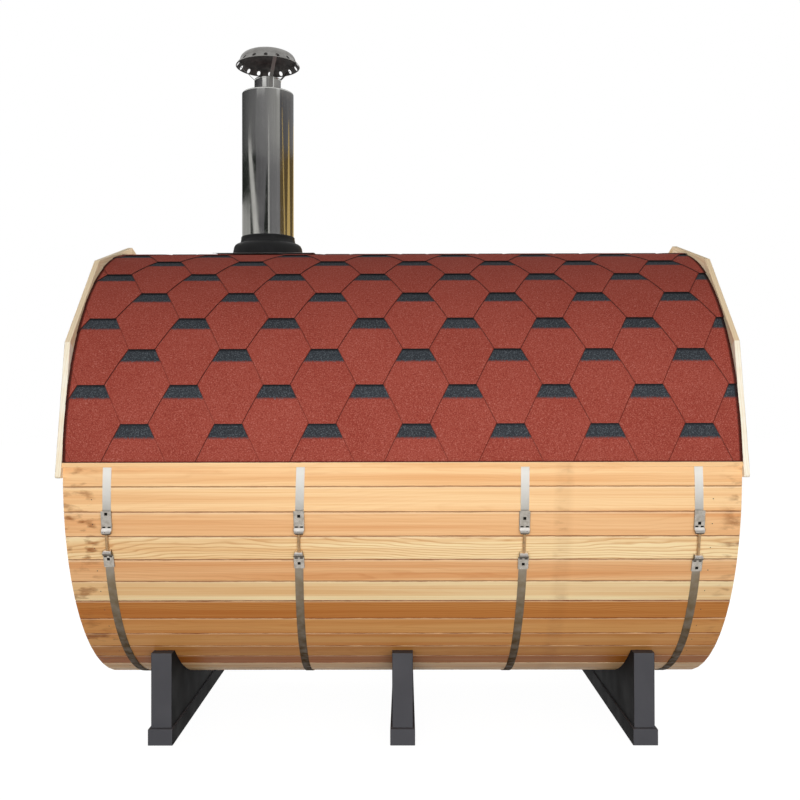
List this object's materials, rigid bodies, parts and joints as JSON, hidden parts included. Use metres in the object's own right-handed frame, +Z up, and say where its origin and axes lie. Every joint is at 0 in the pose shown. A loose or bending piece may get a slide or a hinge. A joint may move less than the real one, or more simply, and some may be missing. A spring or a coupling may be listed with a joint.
{
  "type": "barrel sauna",
  "caption": "Round wooden barrel sauna on dark cradles, with steel bands, a shingled roof, end fascia boards, a closed plank door and a capped steel flue",
  "frame": {"origin": "on the ground under the middle of the barrel", "axes": "X along the barrel with the door end at +X, -Y the side of the band clamps, Z up"},
  "size_m": [2.4486, 1.8458, 2.8763],
  "materials": {
    "stave_wood": "satin",
    "fascia_wood": "matte",
    "painted_wood": "matte",
    "band_steel": "satin",
    "bolt_steel": "satin",
    "flue_steel": "polished",
    "hinge_steel": "satin",
    "boot_rubber": "matte",
    "shingle_felt": "matte"
  },
  "bodies": {
    "root": {"staves_near_side": "stave_wood", "staves_near_upper": "stave_wood", "staves_top": "stave_wood", "staves_far_upper": "stave_wood", "staves_far_side": "stave_wood", "staves_far_lower": "stave_wood", "staves_bottom": "stave_wood", "staves_near_lower": "stave_wood", "band_1": "band_steel", "band_2": "band_steel", "band_3": "band_steel", "band_4": "band_steel", "band_clamp_1": "band_steel", "band_clamp_2": "band_steel", "band_clamp_3": "band_steel", "band_clamp_4": "band_steel", "tension_bolts": "bolt_steel", "cradle_left": "painted_wood", "cradle_middle": "painted_wood", "cradle_right": "painted_wood", "sill_left": "painted_wood", "sill_middle": "painted_wood", "sill_right": "painted_wood", "rear_wall": "stave_wood", "door_wall_near": "stave_wood", "door_wall_far": "stave_wood", "door_wall_head": "stave_wood", "door_wall_foot": "stave_wood", "door_frame": "stave_wood", "door_leaf": "stave_wood", "door_ledges": "stave_wood", "door_hinges": "hinge_steel", "door_handle": "fascia_wood", "eave_batten_near": "stave_wood", "eave_batten_far": "stave_wood", "roof_shingles_near": "shingle_felt", "roof_shingles_far": "shingle_felt", "fascia_right_end": "fascia_wood", "fascia_left_end": "fascia_wood", "flue_outer_pipe": "flue_steel", "flue_inner_pipe": "flue_steel", "flue_cap": "flue_steel", "cap_supports": "flue_steel", "flue_boot": "boot_rubber", "flue_flashing": "flue_steel"}
  },
  "joints": []
}
